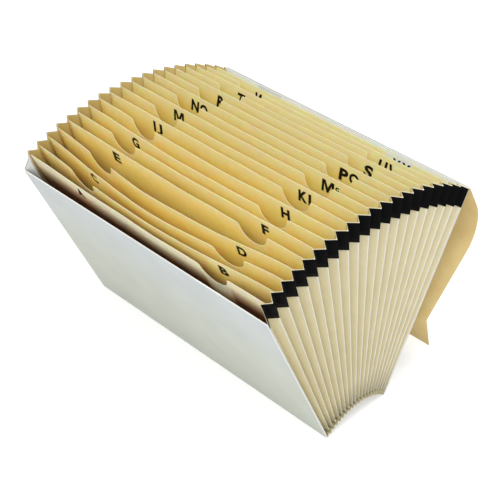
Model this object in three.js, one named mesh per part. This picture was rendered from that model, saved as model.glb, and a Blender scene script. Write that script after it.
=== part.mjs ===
// Expanding file with an A to Z index, fanned open and standing on its two covers.
// Millimetres. +X runs across the file, +Y from the front cover to the rear cover, +Z up.
// A station is a place along the fan: 0 is the front cover, whole numbers are the outer folds
// of the side gussets, halves are the inner folds, and each divider stands at an inner fold.

import * as THREE from 'three';

// Index: one divider for each entry, front to back
const INDEX = ['a', 'b', 'c', 'd', 'e', 'f', 'g', 'h', 'ij', 'kl', 'm', 'mc', 'no', 'pq', 'r', 's', 't', 'uv', 'w', 'xyz'];

// Covers
const COVER_WIDTH = 381;
const FRONT_COVER_DROP = 16;
const COVER_THICKNESS = 1.6;
const COVER_TOP_RADIUS = 1.5;
const COVER_FOOT_RADIUS = 4;

// Pleated paper
const PLEAT_HEIGHT = 257;
const GUSSET_DEPTH = 11.2;
const GUSSET_THICKNESS = 0.5;
const BELLOWS_RISE = 5;
const BELLOWS_THICKNESS = 0.5;
const TAPE_HEIGHT = 23;
const TAPE_MARGIN = 1.6;
const TAPE_THICKNESS = 0.3;
const CLEARANCE = 0.3;

// Dividers
const DIVIDER_THICKNESS = 0.5;
const DIVIDER_CORNER_RADIUS = 2;
const RIGHT_NOTCH_CENTRE = 111;
const LEFT_NOTCH_CENTRE = -103;
const NOTCH_RADIUS = 19;
const NOTCH_LIP_RADIUS = 3;

// Fan: the lean of the middle station, what each further station adds, and how that step grows
const MIDDLE_LEAN_DEG = 0.9;
const LEAN_STEP_DEG = 2.6;
const LEAN_GROWTH_DEG = 0.028;

// Bottom folds: their spacing, how much of it each station to the rear loses, and how much
// steeper than square to the pleats they climb, which bows them up between the two covers
const BASE_SPACING = 5.08;
const BASE_SPACING_LOSS = 0.067;
const BASE_ARCH = 1.5;

// Flap: shoulder, round bend, long panel and creased lip. Its angles are measured from the
// rear cover's own downward direction, towards the back.
const FLAP_THICKNESS = 0.8;
const FLAP_HINGE_RISE = 0.9;
const FLAP_SHOULDER = 36;
const FLAP_SHOULDER_DEG = 57;
const FLAP_BEND_RADIUS = 52;
const FLAP_PANEL = 89;
const FLAP_PANEL_DEG = -17;
const FLAP_LIP = 45;
const FLAP_LIP_DEG = 41;

// Smoothness
const NOTCH_STEPS = 18;
const LIP_STEPS = 3;
const BEND_STEPS = 16;
const GUSSET_LEVELS = 5;

const REAR_COVER_HEIGHT = PLEAT_HEIGHT;
const FRONT_COVER_HEIGHT = PLEAT_HEIGHT - FRONT_COVER_DROP;
const HALF_WIDTH = COVER_WIDTH / 2;
const DIVIDER_HALF_WIDTH = HALF_WIDTH - GUSSET_DEPTH;
const DIVIDER_FOOT = BELLOWS_RISE + CLEARANCE;
const TAPE_FOOT = PLEAT_HEIGHT - TAPE_HEIGHT;
const LAST_STATION = INDEX.length;
const MIDDLE_STATION = LAST_STATION / 2;
const LAST_FOLD = 2 * LAST_STATION;

const PALETTE = {
  board: { color: 0xd6d7d2, roughness: 0.75 },
  manila: { color: 0xe2c777, roughness: 0.85 },
  gusset: { color: 0xd8cfa4, roughness: 0.85 },
  bellows: { color: 0xb9b18e, roughness: 0.9 },
  tape: { color: 0x141414, roughness: 0.6 },
  flap: { color: 0xc6ab6c, roughness: 0.8 },
};

// Fan

function rawLean(station) {
  const steps = station - MIDDLE_STATION;
  return THREE.MathUtils.degToRad(MIDDLE_LEAN_DEG + LEAN_STEP_DEG * steps + LEAN_GROWTH_DEG * steps ** 2);
}

// Where each fold's foot lies, as (y, z), before the fan is levelled
function rawFeet() {
  const feet = [new THREE.Vector2(0, 0)];
  for (let fold = 0; fold < LAST_FOLD; fold += 1) {
    const station = (fold + 0.5) / 2;
    const climb = -BASE_ARCH * rawLean(station);
    const halfPitch = (BASE_SPACING - BASE_SPACING_LOSS * (station - MIDDLE_STATION)) / 2;
    feet.push(new THREE.Vector2(Math.cos(climb), Math.sin(climb)).multiplyScalar(halfPitch).add(feet[fold]));
  }
  return feet;
}

// The fan is turned so that the outer bottom edges of both covers stand on one level
function levelledFan() {
  const feet = rawFeet();
  const frontEdge = behind(feet[0], rawLean(0), -COVER_THICKNESS);
  const rearEdge = behind(feet[LAST_FOLD], rawLean(LAST_STATION), COVER_THICKNESS);
  const tilt = rearEdge.clone().sub(frontEdge).angle();
  return feet.map((foot, fold) => ({
    foot: foot.clone().sub(frontEdge).rotateAround(new THREE.Vector2(), -tilt),
    lean: rawLean(fold / 2) + tilt,
  }));
}

// A point moved square to a leaning sheet, towards the rear, in the (y, z) plane
function behind(point, lean, distance) {
  return point.clone().add(new THREE.Vector2(Math.cos(lean), -Math.sin(lean)).multiplyScalar(distance));
}

const FAN = levelledFan();

// The point at a fold, a height up its sheet, an x across it and a distance behind it
function fanPoint(fold, height, x, distance = 0) {
  const { foot, lean } = FAN[fold];
  const point = behind(foot, lean, distance);
  return new THREE.Vector3(x, point.x + height * Math.sin(lean), point.y + height * Math.cos(lean));
}

// Distance at one height from a fold to its neighbours, averaged over the two
function halfPitchAt(fold, height) {
  const here = fanPoint(fold, height, 0);
  const neighbours = [fold - 1, fold + 1].filter((other) => other >= 0 && other <= LAST_FOLD);
  const distances = neighbours.map((other) => here.distanceTo(fanPoint(other, height, 0)));
  return distances.reduce((sum, distance) => sum + distance, 0) / distances.length;
}

// How far a sheet of some thickness reaches along the crease's depth where it is folded
function foldReach(thickness, halfPitch, depth) {
  return thickness / Math.sin(Math.atan2(halfPitch, depth));
}

// The gusset and the bottom stop a clearance short of the covers that they are glued to
function gapToCover(fold) {
  if (fold === 0) {
    return CLEARANCE;
  }
  return fold === LAST_FOLD ? -CLEARANCE : 0;
}

// Solids

// A closed sheet between two grids of points of the same size
function sheetGeometry(front, back) {
  const rows = front.length;
  const columns = front[0].length;
  const positions = [front, back].flat(2).flatMap((point) => point.toArray());
  const at = (skin, row, column) => (skin * rows + row) * columns + column;
  const indices = [];
  const quad = (a, b, c, d) => indices.push(a, b, c, a, c, d);
  for (let row = 0; row + 1 < rows; row += 1) {
    for (let column = 0; column + 1 < columns; column += 1) {
      quad(at(0, row, column), at(0, row + 1, column), at(0, row + 1, column + 1), at(0, row, column + 1));
      quad(at(1, row, column), at(1, row, column + 1), at(1, row + 1, column + 1), at(1, row + 1, column));
    }
    const end = columns - 1;
    quad(at(0, row + 1, 0), at(0, row, 0), at(1, row, 0), at(1, row + 1, 0));
    quad(at(0, row, end), at(0, row + 1, end), at(1, row + 1, end), at(1, row, end));
  }
  for (let column = 0; column + 1 < columns; column += 1) {
    const end = rows - 1;
    quad(at(0, 0, column), at(0, 0, column + 1), at(1, 0, column + 1), at(1, 0, column));
    quad(at(0, end, column + 1), at(0, end, column), at(1, end, column), at(1, end, column + 1));
  }
  const geometry = new THREE.BufferGeometry();
  geometry.setAttribute('position', new THREE.Float32BufferAttribute(positions, 3));
  geometry.setIndex(facingOut(positions, indices));
  geometry.computeVertexNormals();
  return geometry;
}

// The triangles turned round if they enclose a negative volume
function facingOut(positions, indices) {
  const corner = (index) => new THREE.Vector3().fromArray(positions, 3 * index);
  let volume = 0;
  for (let i = 0; i < indices.length; i += 3) {
    volume += corner(indices[i]).dot(corner(indices[i + 1]).cross(corner(indices[i + 2])));
  }
  return volume > 0 ? indices : indices.reverse();
}

// A rectangle standing on y = 0 with round corners at its top and, if asked, at its foot
function panelShape(halfWidth, height, topRadius, footRadius, topOutline = () => {}) {
  const shape = new THREE.Shape();
  shape.moveTo(-halfWidth, footRadius);
  shape.lineTo(-halfWidth, height - topRadius);
  shape.absarc(-halfWidth + topRadius, height - topRadius, topRadius, Math.PI, Math.PI / 2, true);
  topOutline(shape);
  shape.absarc(halfWidth - topRadius, height - topRadius, topRadius, Math.PI / 2, 0, true);
  if (footRadius > 0) {
    shape.absarc(halfWidth - footRadius, footRadius, footRadius, 0, -Math.PI / 2, true);
    shape.absarc(-halfWidth + footRadius, footRadius, footRadius, -Math.PI / 2, -Math.PI, true);
  } else {
    shape.lineTo(halfWidth, 0);
    shape.lineTo(-halfWidth, 0);
  }
  return shape;
}

// A flat sheet standing at a fold. Its rear face lies a distance behind the fold's plane.
function standingSheet(name, shape, thickness, fold, height, rearFace, finish) {
  const geometry = new THREE.ExtrudeGeometry(shape, { depth: thickness, bevelEnabled: false, curveSegments: 3 });
  const mesh = namedMesh(name, geometry, finish);
  mesh.rotation.x = Math.PI / 2 - FAN[fold].lean;
  mesh.position.copy(fanPoint(fold, height, 0, rearFace));
  return mesh;
}

function namedMesh(name, geometry, finish) {
  const mesh = new THREE.Mesh(geometry, new THREE.MeshStandardMaterial({ ...finish, metalness: 0 }));
  mesh.name = name;
  return mesh;
}

// Covers

function frontCover() {
  const shape = panelShape(HALF_WIDTH, FRONT_COVER_HEIGHT, COVER_TOP_RADIUS, COVER_FOOT_RADIUS);
  return standingSheet('front_cover', shape, COVER_THICKNESS, 0, 0, 0, PALETTE.board);
}

function rearCover() {
  const shape = panelShape(HALF_WIDTH, REAR_COVER_HEIGHT, COVER_TOP_RADIUS, COVER_FOOT_RADIUS);
  return standingSheet('rear_cover', shape, COVER_THICKNESS, LAST_FOLD, 0, COVER_THICKNESS, PALETTE.board);
}

// Dividers

// The thumb notch is a half round, with a small radius where it meets the top edge
function notchOutline(shape, centre, height) {
  const lipOffset = Math.sqrt((NOTCH_RADIUS + NOTCH_LIP_RADIUS) ** 2 - NOTCH_LIP_RADIUS ** 2);
  const lipAngle = Math.atan2(NOTCH_LIP_RADIUS, lipOffset);
  const lipFoot = height - NOTCH_LIP_RADIUS;
  const quarter = Math.PI / 2;
  arcLine(shape, centre - lipOffset, lipFoot, NOTCH_LIP_RADIUS, quarter, lipAngle, LIP_STEPS);
  arcLine(shape, centre, height, NOTCH_RADIUS, Math.PI + lipAngle, 2 * Math.PI - lipAngle, NOTCH_STEPS);
  arcLine(shape, centre + lipOffset, lipFoot, NOTCH_LIP_RADIUS, Math.PI - lipAngle, quarter, LIP_STEPS);
}

function arcLine(shape, x, y, radius, startAngle, endAngle, steps) {
  for (let step = 0; step <= steps; step += 1) {
    const angle = THREE.MathUtils.lerp(startAngle, endAngle, step / steps);
    shape.lineTo(x + radius * Math.cos(angle), y + radius * Math.sin(angle));
  }
}

// Odd dividers have the notch on the right and even ones on the left, so each notch shows
// the letter printed on the divider behind it
function divider(entry, place) {
  const height = PLEAT_HEIGHT - DIVIDER_FOOT;
  const centre = place % 2 === 0 ? RIGHT_NOTCH_CENTRE : LEFT_NOTCH_CENTRE;
  const outline = (shape) => notchOutline(shape, centre, height);
  const shape = panelShape(DIVIDER_HALF_WIDTH, height, DIVIDER_CORNER_RADIUS, 0, outline);
  const fold = 2 * place + 1;
  const rearFace = DIVIDER_THICKNESS / 2;
  return standingSheet(`divider_${entry}`, shape, DIVIDER_THICKNESS, fold, DIVIDER_FOOT, rearFace, PALETTE.manila);
}

// Pleats

// The x of a gusset's outer skin and of its inner one, at a fold and a height. Outer folds
// reach out to the covers' edges, and inner folds reach in to the dividers' edges.
function gussetSkins(fold, height) {
  const reach = foldReach(GUSSET_THICKNESS, halfPitchAt(fold, height), GUSSET_DEPTH);
  const isOuterFold = fold % 2 === 0;
  const outer = isOuterFold ? HALF_WIDTH : DIVIDER_HALF_WIDTH + CLEARANCE + reach;
  return { outer, inner: outer - reach };
}

// A grid of points along every fold. At the front the paper is cut down to the front cover's
// top edge, so what lies above the tape's foot drops with it.
function foldGrid(levels, xAt) {
  const folds = Array.from({ length: LAST_FOLD + 1 }, (_, fold) => fold);
  return folds.map((fold) => levels.map((level) => {
    const height = fold === 0 && level > TAPE_FOOT ? level - FRONT_COVER_DROP : level;
    return fanPoint(fold, height, xAt(fold, height), gapToCover(fold));
  }));
}

function gusset(name, side) {
  const levels = Array.from(
    { length: GUSSET_LEVELS + 1 },
    (_, level) => THREE.MathUtils.lerp(DIVIDER_FOOT, TAPE_FOOT, level / GUSSET_LEVELS),
  );
  levels.push(PLEAT_HEIGHT);
  const outerSkin = foldGrid(levels, (fold, level) => side * gussetSkins(fold, level).outer);
  const innerSkin = foldGrid(levels, (fold, level) => side * gussetSkins(fold, level).inner);
  return namedMesh(name, sheetGeometry(outerSkin, innerSkin), PALETTE.gusset);
}

// Tape glued over the outside of a gusset's top, from the same folds. It stops short of the
// paper's own edge.
function edgeTape(name, side) {
  const levels = [TAPE_FOOT, PLEAT_HEIGHT - TAPE_MARGIN];
  const skinAt = (offset) => foldGrid(levels, (fold, level) => {
    const reach = foldReach(offset, halfPitchAt(fold, level), GUSSET_DEPTH);
    return side * (gussetSkins(fold, level).outer + reach);
  });
  return namedMesh(name, sheetGeometry(skinAt(CLEARANCE + TAPE_THICKNESS), skinAt(CLEARANCE)), PALETTE.tape);
}

// The pleated bottom that closes every pocket: its folds point down at the outer folds and
// rise under each divider
function bottomBellows() {
  const skinAt = (isUpper) => Array.from({ length: LAST_FOLD + 1 }, (_, fold) => {
    const reach = foldReach(BELLOWS_THICKNESS, halfPitchAt(fold, 0), BELLOWS_RISE);
    const lowerSkin = fold % 2 === 0 ? 0 : BELLOWS_RISE - reach;
    const height = isUpper ? lowerSkin + reach : lowerSkin;
    return [-HALF_WIDTH, HALF_WIDTH].map((x) => fanPoint(fold, height, x, gapToCover(fold)));
  });
  return namedMesh('bottom_bellows', sheetGeometry(skinAt(true), skinAt(false)), PALETTE.bellows);
}

// Flap

// The middle line of the flap's section, as (down, back) from the hinge line
function flapPath() {
  const points = [new THREE.Vector2(0, 0)];
  const advance = (length, degrees) => {
    const angle = THREE.MathUtils.degToRad(degrees);
    const step = new THREE.Vector2(Math.cos(angle), Math.sin(angle)).multiplyScalar(length);
    points.push(points[points.length - 1].clone().add(step));
  };
  advance(FLAP_SHOULDER, FLAP_SHOULDER_DEG);
  const turn = (FLAP_SHOULDER_DEG - FLAP_PANEL_DEG) / BEND_STEPS;
  const chord = 2 * FLAP_BEND_RADIUS * Math.sin(THREE.MathUtils.degToRad(turn) / 2);
  for (let step = 0; step < BEND_STEPS; step += 1) {
    advance(chord, FLAP_SHOULDER_DEG - turn * (step + 0.5));
  }
  advance(FLAP_PANEL, FLAP_PANEL_DEG);
  advance(FLAP_LIP, FLAP_LIP_DEG);
  return points;
}

// A path moved sideways by a distance, mitred at its corners
function offsetPath(path, distance) {
  const sideOf = (from, to) => to.clone().sub(from).normalize().rotateAround(new THREE.Vector2(), Math.PI / 2);
  return path.map((point, i) => {
    const before = i > 0 ? sideOf(path[i - 1], point) : sideOf(point, path[i + 1]);
    const after = i + 1 < path.length ? sideOf(point, path[i + 1]) : before;
    const middle = before.clone().add(after).normalize();
    return point.clone().addScaledVector(middle, distance / middle.dot(before));
  });
}

function flap() {
  const path = flapPath();
  const skinAt = (distance) => offsetPath(path, distance).map((point) => [-HALF_WIDTH, HALF_WIDTH].map(
    (x) => fanPoint(LAST_FOLD, REAR_COVER_HEIGHT + FLAP_HINGE_RISE - point.x, x, COVER_THICKNESS + point.y),
  ));
  return namedMesh('flap', sheetGeometry(skinAt(FLAP_THICKNESS / 2), skinAt(-FLAP_THICKNESS / 2)), PALETTE.flap);
}

// Assembly, with its origin under the middle of its box, on the surface that it stands on

const file = new THREE.Group();
file.add(frontCover(), rearCover(), flap(), bottomBellows());
file.add(gusset('gusset_left', -1), gusset('gusset_right', 1));
file.add(edgeTape('tape_left', -1), edgeTape('tape_right', 1));
file.add(...INDEX.map(divider));

const extent = new THREE.Box3().setFromObject(file, true);
const middle = extent.getCenter(new THREE.Vector3());
file.position.set(-middle.x, -middle.y, -extent.min.z);

export default file;
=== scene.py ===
# %% [markdown]
# # An expanding file, fanned open
#
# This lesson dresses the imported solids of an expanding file: two boards, twenty manila
# index cards, a folded paper gusset on each side with black tape over its top, and a
# bent card flap. The solids fix every size. Each piece here is built in the same frame,
# in metres, and then moves with the solid body that it belongs to.

import math
from itertools import pairwise

import bmesh
import bpy
import numpy as np
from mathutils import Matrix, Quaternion, Vector
from mathutils.bvhtree import BVHTree


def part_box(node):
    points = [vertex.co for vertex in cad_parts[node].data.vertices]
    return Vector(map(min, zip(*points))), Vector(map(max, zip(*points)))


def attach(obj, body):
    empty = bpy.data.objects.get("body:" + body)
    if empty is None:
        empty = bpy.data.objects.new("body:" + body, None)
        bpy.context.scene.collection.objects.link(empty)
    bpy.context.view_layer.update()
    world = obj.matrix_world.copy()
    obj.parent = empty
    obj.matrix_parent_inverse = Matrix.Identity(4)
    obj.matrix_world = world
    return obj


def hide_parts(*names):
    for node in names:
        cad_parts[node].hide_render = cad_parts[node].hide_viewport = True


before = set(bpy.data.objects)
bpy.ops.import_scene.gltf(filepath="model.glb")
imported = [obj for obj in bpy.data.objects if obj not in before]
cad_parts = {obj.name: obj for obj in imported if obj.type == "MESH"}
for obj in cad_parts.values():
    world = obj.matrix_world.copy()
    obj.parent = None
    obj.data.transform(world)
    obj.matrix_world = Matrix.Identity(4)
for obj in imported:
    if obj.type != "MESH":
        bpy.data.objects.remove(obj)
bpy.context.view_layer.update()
MM = 0.001


# %% [markdown]
# ## The fan
#
# Every piece of folded paper follows one rule, so it is worked out once. A *fold* is a
# place along the fan: even folds are the outer folds of the side gussets, and odd folds
# are the inner ones, where the index cards stand. Each fold has a foot and a lean. The
# feet climb half as steeply again as a line square to the leaning paper, which is why a
# file opened on its edge arches up between its covers, and each pleat is a little
# narrower at its foot than the one before. The numbers of this rule were fitted to the
# photo together with the camera.

# %% The rule of the fan
ENTRIES = "A B C D E F G H IJ KL M Mc NO PQ R S T UV W XYZ".split()
CARDS = len(ENTRIES)
LAST_FOLD = 2 * CARDS
HALF_WIDTH = 190.5 * MM
PLEAT_HEIGHT = 257 * MM
FRONT_BOARD_HEIGHT = 241 * MM
BOARD = 1.6 * MM
GUSSET_DEPTH = 11.2 * MM
CLEARANCE = 0.3 * MM
CARD_FOOT = 5.3 * MM
CARD_HALF_WIDTH = HALF_WIDTH - GUSSET_DEPTH
MIDDLE_LEAN_DEG, LEAN_STEP_DEG, LEAN_GROWTH_DEG = 0.9, 2.6, 0.028
CLIMB_PER_LEAN = -1.5
FOOT_SPACING_MM, SPACING_LOSS_MM = 5.08, 0.067


def lean_at(station):
    """The lean in radians at a station, which counts whole pleats from the front cover."""
    steps = station - CARDS / 2
    return math.radians(MIDDLE_LEAN_DEG + LEAN_STEP_DEG * steps + LEAN_GROWTH_DEG * steps**2)


def square_to(lean):
    """The direction square to a leaning sheet, to the rear, as (y, z)."""
    return np.array([math.cos(lean), -math.sin(lean)])


def up_along(lean):
    """The direction up a leaning sheet, as (y, z)."""
    return np.array([math.sin(lean), math.cos(lean)])


feet = [np.zeros(2)]
for fold in range(LAST_FOLD):
    station = (fold + 0.5) / 2
    climb = CLIMB_PER_LEAN * lean_at(station)
    half_pitch = (FOOT_SPACING_MM - SPACING_LOSS_MM * (station - CARDS / 2)) / 2 * MM
    feet.append(feet[-1] + half_pitch * np.array([math.cos(climb), math.sin(climb)]))
feet = np.array(feet)
leans = np.array([lean_at(fold / 2) for fold in range(LAST_FOLD + 1)])
print("folds:", len(feet), "from the front foot to the rear one", round(feet[-1][0] / MM, 1), "mm")

# %% [markdown]
# A file stands with the bottom edges of its two boards on the table. The whole fan is
# turned until those two edges are at one height, and then slid until the top of its
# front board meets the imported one. fan_point is what every later cell builds with: it
# gives the place at a height up a fold, at a distance across and behind it.

# %% Level the fan and set it on the solids
front_edge = feet[0] - BOARD * square_to(leans[0])
rear_edge = feet[-1] + BOARD * square_to(leans[-1])
tilt = math.atan2(*(rear_edge - front_edge)[::-1])
turn = np.array([[math.cos(tilt), math.sin(tilt)], [-math.sin(tilt), math.cos(tilt)]])
feet = (feet - front_edge) @ turn.T
leans += tilt
board_top = feet[0] + FRONT_BOARD_HEIGHT * up_along(leans[0]) - BOARD * square_to(leans[0])
feet[:, 0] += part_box("front_cover")[0].y - board_top[0]


def fan_point(fold, height, x=0.0, behind=0.0):
    y, z = feet[fold] + height * up_along(leans[fold]) + behind * square_to(leans[fold])
    return Vector((x, y, z))


arch = max(fan_point(fold, PLEAT_HEIGHT).z for fold in range(LAST_FOLD + 1))
print("lean from", round(math.degrees(leans[0]), 1), "to", round(math.degrees(leans[-1]), 1), "degrees")
print("top of the arch at", round(arch / MM, 1), "mm")

# %% [markdown]
# ## Four small helpers
#
# Node trees are long to write out, so one function adds a node, sets its settings and
# fills or links its inputs. A node given as an input stands for its first output. Colours
# are written as they are seen, in sRGB hex, and one function turns them into the linear
# values that shaders need. The third starts a piece from its points. The last takes what
# a piece's modifiers make, keeps it as a plain mesh, and turns its faces outwards.

# %% Nodes, colours and finished meshes
MATH = "ShaderNodeMath"
VECTOR_MATH = "ShaderNodeVectorMath"
MAP_RANGE = "ShaderNodeMapRange"
MIX = "ShaderNodeMix"
COMBINE = "ShaderNodeCombineXYZ"
SEPARATE = "ShaderNodeSeparateXYZ"
READ = "GeometryNodeInputNamedAttribute"
STORE = "GeometryNodeStoreNamedAttribute"
SET_POSITION = "GeometryNodeSetPosition"


def add(tree, kind, inputs=None, **settings):
    node = tree.nodes.new(kind)
    for name, value in settings.items():
        setattr(node, name, value)
    for key, value in (inputs or {}).items():
        if isinstance(value, bpy.types.Node):
            value = value.outputs[0]
        if isinstance(value, bpy.types.NodeSocket):
            tree.links.new(value, node.inputs[key])
        else:
            node.inputs[key].default_value = value
    return node


def srgb(code):
    channels = [int(code[i : i + 2], 16) / 255 for i in (1, 3, 5)]
    return [c / 12.92 if c <= 0.04045 else ((c + 0.055) / 1.055) ** 2.4 for c in channels] + [1.0]


def new_piece(name, vertices, edges=(), faces=()):
    mesh = bpy.data.meshes.new(name)
    mesh.from_pydata([tuple(v) for v in vertices], list(edges), list(faces))
    piece = bpy.data.objects.new(name, mesh)
    bpy.context.scene.collection.objects.link(piece)
    return piece


def finish_mesh(piece, body, *nodes):
    """Applies the modifiers, faces the mesh outwards, and puts it in the place of CAD nodes."""
    shaped = piece.evaluated_get(bpy.context.evaluated_depsgraph_get())
    made = bpy.data.meshes.new_from_object(shaped)
    piece.modifiers.clear()
    piece.data = made
    shell = bmesh.new()
    shell.from_mesh(made)
    bmesh.ops.recalc_face_normals(shell, faces=shell.faces)
    shell.to_mesh(made)
    shell.free()
    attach(piece, body)
    if nodes:
        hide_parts(*nodes)
    made.calc_loop_triangles()
    print(piece.name, len(made.loop_triangles), "triangles")
    return piece


print("the linear value of half red, #800000:", round(srgb("#800000")[0], 3))

# %% [markdown]
# ## Paper and board finishes
#
# Manila card is unbleached pulp, so it is a warm straw yellow with faint cloudy
# mottling and short fibres, and it is quite matt. The mottling is near its real scale:
# clouds about 12 mm wide, and fibres about 0.6 mm long, a little coarser than life so
# that they show. The top of each card, where it stands free and catches more light, is
# painted paler as painted light, and the cut edge itself is painted almost white as a
# painted highlight. How far a point lies below its card's top edge is kept on the mesh
# as the attribute "below_top", in metres, so both follow the thumb notches too.
# The last card is paler than the rest in the photo, and the first one is more beige and
# is painted darker down to brown behind the front cover, a painted shade for its shaded
# pocket. Both are told by the attribute "card". Card this thin lets a little warm light
# through, so its shadows stay orange rather than grey.


# %% Manila card
def new_material(name, roughness):
    material = bpy.data.materials.new(name)
    material.use_nodes = True
    material.node_tree.nodes.clear()
    tree = material.node_tree
    surface = {"Roughness": roughness, "IOR": 1.45, "Specular IOR Level": 0.25}
    shader = add(tree, "ShaderNodeBsdfPrincipled", surface)
    add(tree, "ShaderNodeOutputMaterial", {"Surface": shader})
    return material, tree, shader


def mottle(tree, shader, light, dark, clouds_mm, fibres_mm, fibre_share, bump_mm):
    """Cloudy paper between two colours, with fibres that lift the surface. Returns the colour."""
    place = add(tree, "ShaderNodeTexCoord").outputs["Object"]
    clouds = {"Vector": place, "Scale": 1 / (clouds_mm * MM), "Detail": 3.0}
    clouds = add(tree, "ShaderNodeTexNoise", clouds)
    fibres = {"Vector": place, "Scale": 1 / (fibres_mm * MM), "Detail": 4.0}
    fibres = add(tree, "ShaderNodeTexNoise", fibres)
    share = add(tree, MIX, {0: fibre_share, 2: clouds, 3: fibres}, data_type="FLOAT")
    spread = add(tree, MAP_RANGE, {0: share, 1: 0.3, 2: 0.7})
    colour = {0: spread, 6: srgb(dark), 7: srgb(light)}
    colour = add(tree, MIX, colour, data_type="RGBA").outputs[2]
    tree.links.new(colour, shader.inputs["Base Color"])
    bump = {"Height": fibres, "Distance": bump_mm * MM, "Strength": 0.6}
    bump = add(tree, "ShaderNodeBump", bump)
    tree.links.new(bump.outputs[0], shader.inputs["Normal"])
    return colour


TOP_LIGHT_DEPTH = 20 * MM
EDGE_HIGHLIGHT_FULL, EDGE_HIGHLIGHT_END = 0.5 * MM, 1.1 * MM
POCKET_SHADE_START, POCKET_SHADE_FULL = 12 * MM, 36 * MM
LIGHT_TRAVEL = 3 * MM
manila, tree, shader = new_material("manila card, calendered", 0.82)
plain = mottle(tree, shader, "#FEE49D", "#FADA87", 12, 0.6, fibre_share=0.4, bump_mm=0.05)
below = add(tree, "ShaderNodeAttribute", attribute_name="below_top").outputs["Fac"]
# Painted light: the top of each card is painted paler, fading out some 20 mm down.
painted_top_light = {0: below, 1: TOP_LIGHT_DEPTH, 2: 0.0, 4: 0.8}
painted_top_light = add(tree, MAP_RANGE, painted_top_light, interpolation_type="SMOOTHSTEP")
painted_top_light = add(tree, MIX, {0: painted_top_light, 6: plain, 7: srgb("#F3E6BC")}, data_type="RGBA").outputs[2]
# Painted highlight: the cut edge is painted almost white.
edge_highlight = add(tree, MAP_RANGE, {0: below, 1: EDGE_HIGHLIGHT_END, 2: EDGE_HIGHLIGHT_FULL})
edge_highlight = add(tree, MIX, {0: edge_highlight, 6: painted_top_light, 7: srgb("#FAEECB")}, data_type="RGBA").outputs[2]
number = add(tree, "ShaderNodeAttribute", attribute_name="card").outputs["Fac"]
last = add(tree, MATH, {0: number, 1: CARDS - 1.5}, operation="GREATER_THAN")
pale = add(tree, MIX, {0: last, 6: edge_highlight, 7: srgb("#F6F3E6")}, data_type="RGBA").outputs[2]
first = add(tree, MATH, {0: number, 1: 0.5}, operation="LESS_THAN")
part = add(tree, MATH, {0: first, 1: 0.6}, operation="MULTIPLY")
beige = add(tree, MIX, {0: part, 6: pale, 7: srgb("#EFE2D0")}, data_type="RGBA").outputs[2]
# Painted shade: the first card is painted darker, down to brown, behind the front cover.
low = add(tree, MAP_RANGE, {0: below, 1: POCKET_SHADE_START, 2: POCKET_SHADE_FULL, 4: first})
pocket_shaded = {0: low, 6: beige, 7: srgb("#705A46")}
pocket_shaded = add(tree, MIX, pocket_shaded, data_type="RGBA", blend_type="MULTIPLY").outputs[2]
tree.links.new(pocket_shaded, shader.inputs["Base Color"])
shader.inputs["Subsurface Weight"].default_value = 0.8
shader.inputs["Subsurface Radius"].default_value = (1.0, 0.45, 0.1)
shader.inputs["Subsurface Scale"].default_value = LIGHT_TRAVEL
print("made:", manila.name)

# %% [markdown]
# ## Gusset paper and tape
#
# The gussets are a thinner, paler paper, creased by machine. A crease scuffs where it
# sticks out and catches the light, so the outer folds show as pale lines, part scuff and
# part painted highlight, and the inner folds are painted darker, a painted shade in the
# creases. How far in a point lies between the two is kept on the mesh as the attribute
# "inward", from 0 at an outer fold to 1 at an inner one, so the scuff, the highlight and
# the shade follow the folds exactly. The side that faces the pockets is marked "inside"
# and is painted browner, a painted shade for the warm light bounced between the cards,
# and the first panel of the left gusset, marked "lined", is covered by the board's lining.
#
# Bookbinding tape is a black woven cloth with a size that gives it a low sheen. Its
# weave of 0.5 mm is drawn at 0.8 mm, which is as fine as the render can show.

# %% Gusset paper, and tape
SCUFF_HIGHLIGHT_END, SCUFF_HIGHLIGHT_FULL = 0.12, 0.04
CREASE_SHADE_START, CREASE_SHADE_AMOUNT = 0.8, 0.3
gusset_paper, tree, shader = new_material("gusset paper, machine creased", 0.8)
plain = mottle(tree, shader, "#EDE4C3", "#E3D9B4", 20, 0.7, fibre_share=0.5, bump_mm=0.05)
inward = add(tree, "ShaderNodeAttribute", attribute_name="inward").outputs["Fac"]
# Pale lines along the outer folds, part scuff and part painted highlight.
scuff_and_highlight = add(tree, MAP_RANGE, {0: inward, 1: SCUFF_HIGHLIGHT_END, 2: SCUFF_HIGHLIGHT_FULL})
scuffed_and_highlit = add(tree, MIX, {0: scuff_and_highlight, 6: plain, 7: srgb("#FFFEF4")}, data_type="RGBA").outputs[2]
# Painted shade: the inner folds are painted darker, where shade falls in the creases.
crease_shade = add(tree, MAP_RANGE, {0: inward, 1: CREASE_SHADE_START, 2: 1.0, 4: CREASE_SHADE_AMOUNT})
crease_shaded = add(tree, MIX, {0: crease_shade, 6: scuffed_and_highlit, 7: srgb("#C9BC8E")}, data_type="RGBA").outputs[2]
# Painted shade: the side facing the pockets is painted browner, for the warm light bounced between the
# cards.
inside = add(tree, "ShaderNodeAttribute", attribute_name="inside").outputs["Fac"]
shaded = {0: inside, 6: crease_shaded, 7: srgb("#D2C08E")}
shaded = add(tree, MIX, shaded, data_type="RGBA", blend_type="MULTIPLY").outputs[2]
lined = add(tree, "ShaderNodeAttribute", attribute_name="lined").outputs["Fac"]
lined = add(tree, MIX, {0: lined, 6: shaded, 7: srgb("#E6E7E4")}, data_type="RGBA").outputs[2]
tree.links.new(lined, shader.inputs["Base Color"])

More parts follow.
